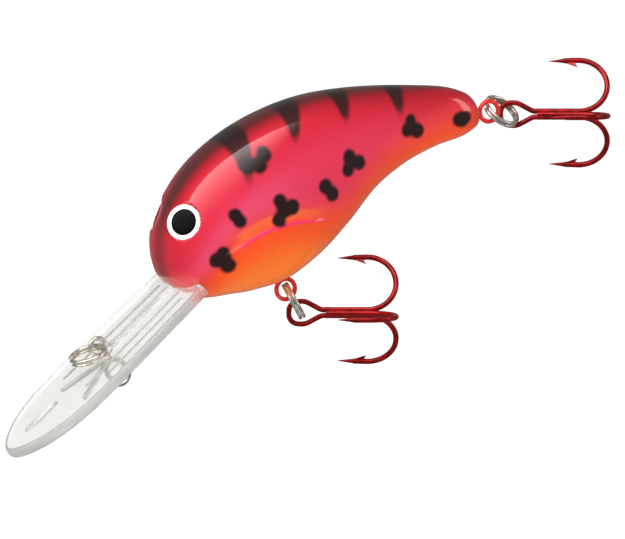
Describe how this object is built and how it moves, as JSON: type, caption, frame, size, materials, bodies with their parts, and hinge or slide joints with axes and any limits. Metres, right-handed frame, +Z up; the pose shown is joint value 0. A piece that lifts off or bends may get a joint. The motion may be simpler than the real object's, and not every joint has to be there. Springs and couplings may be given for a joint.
{
  "type": "deep diving crankbait lure",
  "caption": "Deep diving crankbait lure with a clear diving lip, airbrushed spotted body, domed eyes, line tie ring and treble hooks on split rings.",
  "frame": {"origin": "centre of the line tie's upper eye, where the line is fastened", "axes": "+X towards the tail, level with the water when the lure runs; -Y the left side; +Z up; the body slopes nose down in this running attitude"},
  "size_m": [0.0915, 0.0225, 0.0492],
  "materials": {
    "paint_coat": "airbrushed lacquer under a clear coat",
    "clear_lip": "clear polished plastic",
    "wire": "bright stainless wire",
    "painted_wire": "wire overpainted with the body",
    "ballast": "dull cast weight",
    "eye_white": "gloss",
    "eye_pupil": "gloss, domed",
    "nickel": "bright nickel plate",
    "red_hook": "translucent red finish over bright wire",
    "braze": "red-finished braze",
    "steel_ball": "polished bearing ball"
  },
  "bodies": {
    "lure_body": {"body_shell_left": "paint_coat", "body_shell_right": "paint_coat", "diving_lip": "clear_lip", "line_tie_wire": "wire", "belly_hanger": "painted_wire", "tail_hanger": "painted_wire", "belly_ballast": "ballast", "eye_white_left": "eye_white", "eye_white_right": "eye_white", "eye_pupil_left": "eye_pupil", "eye_pupil_right": "eye_pupil"},
    "line_tie_ring": {"line_tie_split_ring": "nickel"},
    "belly_ring": {"belly_split_ring": "nickel"},
    "belly_treble": {"belly_treble_double_hook": "red_hook", "belly_treble_single_hook": "red_hook", "belly_treble_braze": "braze"},
    "tail_ring": {"tail_split_ring": "nickel"},
    "tail_treble": {"tail_treble_double_hook": "red_hook", "tail_treble_single_hook": "red_hook", "tail_treble_braze": "braze"},
    "rattle_front": {"rattle_ball_front": "steel_ball"},
    "rattle_rear": {"rattle_ball_rear": "steel_ball"}
  },
  "joints": [
    {"name": "line_tie_ring_swing", "type": "hinge", "parent": "lure_body", "child": "line_tie_ring", "pos_m": [0, 0, 0], "axis": [0, 1, 0], "range_deg": [-4, 100]},
    {"name": "belly_ring_swing", "type": "hinge", "parent": "lure_body", "child": "belly_ring", "pos_m": [0.02877, 0, 0.00656], "axis": [0, 1, 0], "range_deg": [-2, 30]},
    {"name": "belly_treble_swing", "type": "hinge", "parent": "belly_ring", "child": "belly_treble", "pos_m": [0.0307, -0.00143, 0.00219], "axis": [-0.4536, -0.8903, 0.0401], "range_deg": [-75, 8]},
    {"name": "tail_ring_swing", "type": "hinge", "parent": "lure_body", "child": "tail_ring", "pos_m": [0.06035, 0, 0.02856], "axis": [0, 1, 0], "range_deg": [-20, 45]},
    {"name": "tail_treble_swing", "type": "hinge", "parent": "tail_ring", "child": "tail_treble", "pos_m": [0.065, 0.00102, 0.02736], "axis": [-0.4519, -0.8869, 0.0959], "range_deg": [-60, 20]},
    {"name": "rattle_front_slide", "type": "slide", "parent": "lure_body", "child": "rattle_front", "axis": [0, 1, 0], "range_m": [-0.0032, 0.0032]},
    {"name": "rattle_rear_slide", "type": "slide", "parent": "lure_body", "child": "rattle_rear", "axis": [0, 1, 0], "range_m": [-0.0032, 0.0032]}
  ]
}
